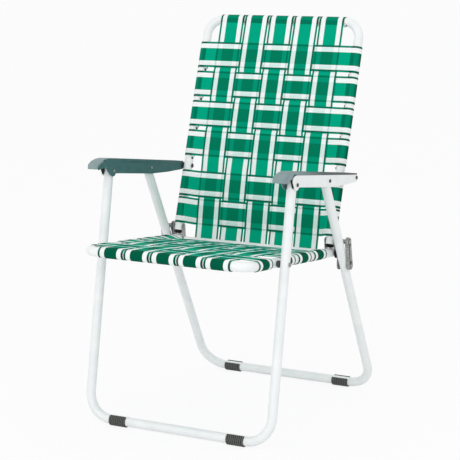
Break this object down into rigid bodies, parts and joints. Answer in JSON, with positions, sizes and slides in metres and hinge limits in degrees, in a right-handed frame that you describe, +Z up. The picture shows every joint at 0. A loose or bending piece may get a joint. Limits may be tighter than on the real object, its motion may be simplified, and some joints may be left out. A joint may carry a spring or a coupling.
{
  "type": "folding webbed lawn chair",
  "caption": "Folding lawn chair of white tube frames with a seat and back of interlaced striped webbing, moulded armrests, ribbed feet and a linkage that folds it flat.",
  "frame": {"origin": "floor under the middle of the open chair's bounding box", "axes": "+X towards the chair's own left side, -Y the way the sitter faces, +Z up"},
  "size_m": [0.4652, 0.5814, 0.8502],
  "materials": {
    "white_tube": "gloss powder coat",
    "arm_moulding": "satin",
    "link_steel": "zinc plated",
    "rivet_steel": "darkened",
    "black_plastic": "matte",
    "foot_rubber": "ribbed",
    "webbing": "striped flat weave"
  },
  "bodies": {
    "back": {"back_frame": "white_tube", "back_cross_strap_1": "webbing", "back_cross_strap_2": "webbing", "back_cross_strap_3": "webbing", "back_cross_strap_4": "webbing", "back_cross_strap_5": "webbing", "back_cross_strap_6": "webbing", "back_length_strap_1": "webbing", "back_length_strap_2": "webbing", "back_length_strap_3": "webbing", "back_length_strap_4": "webbing", "back_length_strap_5": "webbing", "left_back_end_plug": "black_plastic", "right_back_end_plug": "black_plastic", "left_link_pin": "link_steel", "right_link_pin": "link_steel", "left_rear_arm_pin": "rivet_steel", "right_rear_arm_pin": "rivet_steel"},
    "arms": {"left_armrest": "arm_moulding", "right_armrest": "arm_moulding", "left_arm_side_plate": "white_tube", "right_arm_side_plate": "white_tube", "left_front_arm_rivet": "rivet_steel", "right_front_arm_rivet": "rivet_steel", "left_middle_arm_rivet": "rivet_steel", "right_middle_arm_rivet": "rivet_steel"},
    "front_legs": {"front_leg_frame": "white_tube", "left_front_foot": "foot_rubber", "right_front_foot": "foot_rubber"},
    "rear_legs": {"rear_leg_frame": "white_tube", "left_rear_foot": "foot_rubber", "right_rear_foot": "foot_rubber"},
    "hinge_plates": {"left_hinge_plate_inner": "link_steel", "right_hinge_plate_inner": "link_steel", "left_hinge_plate_outer": "link_steel", "right_hinge_plate_outer": "link_steel"},
    "seat": {"seat_frame": "white_tube", "seat_crossbar": "white_tube", "seat_cross_strap_1": "webbing", "seat_cross_strap_2": "webbing", "seat_cross_strap_3": "webbing", "seat_cross_strap_4": "webbing", "seat_length_strap_1": "webbing", "seat_length_strap_2": "webbing", "seat_length_strap_3": "webbing", "seat_length_strap_4": "webbing", "seat_length_strap_5": "webbing", "left_seat_end_plug": "black_plastic", "right_seat_end_plug": "black_plastic", "left_hinge_pin": "black_plastic", "right_hinge_pin": "black_plastic", "left_seat_leg_pin": "rivet_steel", "right_seat_leg_pin": "rivet_steel"},
    "lock_links": {"left_lock_link_inner": "link_steel", "right_lock_link_inner": "link_steel", "left_lock_link_outer": "link_steel", "right_lock_link_outer": "link_steel", "left_link_leg_rivet": "link_steel", "right_link_leg_rivet": "link_steel"}
  },
  "joints": [
    {"name": "arm_fold", "type": "hinge", "parent": "back", "child": "arms", "pos_m": [0, 0.1475, 0.5096], "axis": [-1, 0, 0], "range_deg": [0, 88]},
    {"name": "front_leg_pivot", "type": "hinge", "parent": "arms", "child": "front_legs", "pos_m": [0, -0.14474, 0.5307], "axis": [-1, 0, 0], "range_deg": [-84.7, 0]},
    {"name": "rear_leg_pivot", "type": "hinge", "parent": "arms", "child": "rear_legs", "pos_m": [0, 0.01016, 0.51952], "axis": [-1, 0, 0], "range_deg": [-46.8, 0]},
    {"name": "hinge_plate_pivot", "type": "hinge", "parent": "back", "child": "hinge_plates", "pos_m": [0, 0.10501, 0.37484], "axis": [-1, 0, 0], "range_deg": [0, 80.7]},
    {"name": "seat_pivot", "type": "hinge", "parent": "hinge_plates", "child": "seat", "pos_m": [0, 0.10644, 0.34758], "axis": [-1, 0, 0], "range_deg": [0, 13.4]},
    {"name": "lock_link_pivot", "type": "hinge", "parent": "back", "child": "lock_links", "pos_m": [0, 0.10501, 0.37484], "axis": [-1, 0, 0], "range_deg": [0, 185.7]}
  ],
  "couplings": [
    {"joint": "front_leg_pivot", "follows": "arm_fold", "ratio": -0.95989},
    {"joint": "rear_leg_pivot", "follows": "arm_fold", "ratio": -0.52932},
    {"joint": "hinge_plate_pivot", "follows": "arm_fold", "ratio": 0.91477},
    {"joint": "seat_pivot", "follows": "arm_fold", "ratio": 0.14978},
    {"joint": "lock_link_pivot", "follows": "arm_fold", "ratio": 2.1077}
  ]
}
